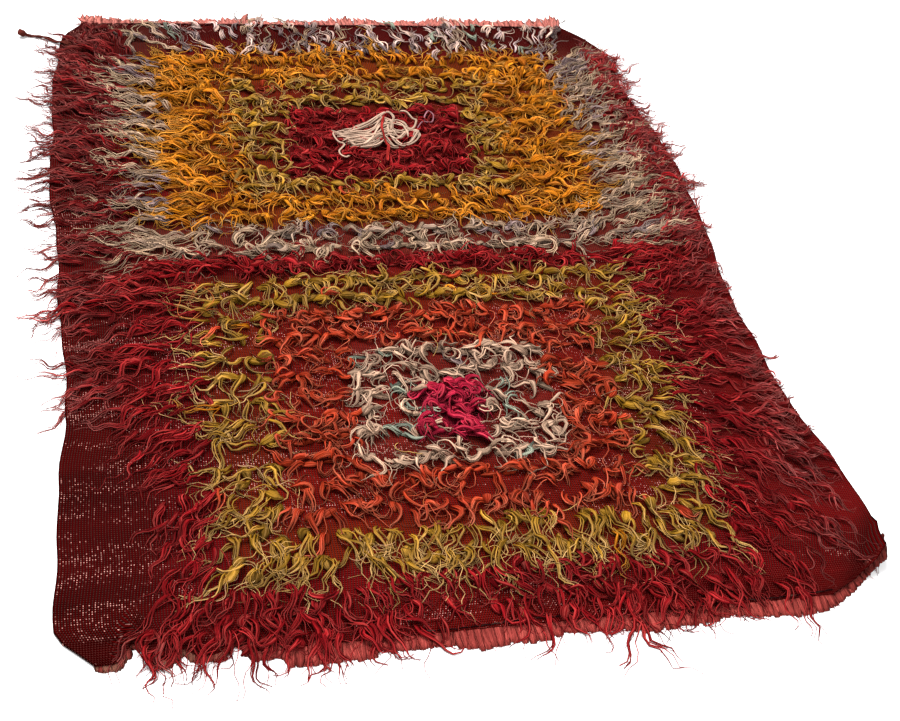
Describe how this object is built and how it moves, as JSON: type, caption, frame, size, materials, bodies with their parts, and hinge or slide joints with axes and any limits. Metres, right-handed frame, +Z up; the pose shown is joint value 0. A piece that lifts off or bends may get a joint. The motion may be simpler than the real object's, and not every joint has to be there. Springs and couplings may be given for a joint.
{
  "type": "long-pile wool rug",
  "caption": "Flat hand-woven wool rug with long knotted pile in nested rectangles of colour, locks over its long edges and a short warp fringe at both ends.",
  "frame": {"origin": "on the floor, at the middle of the woven ground", "axes": "+X across the rug, +Y along its length towards the far end, +Z up out of the pile"},
  "size_m": [1.2665, 1.6326, 0.0418],
  "materials": {
    "wool_pile": "long wool locks dyed crimson, gold, olive, orange and grey on a maroon woven ground",
    "woven_ground": "coarse maroon plain weave with pale warp showing where it is thin",
    "warp_fringe": "loose salmon wool warp ends"
  },
  "bodies": {
    "root": {"rug": "wool_pile", "fringe_far": "warp_fringe", "fringe_near": "warp_fringe"}
  },
  "joints": []
}
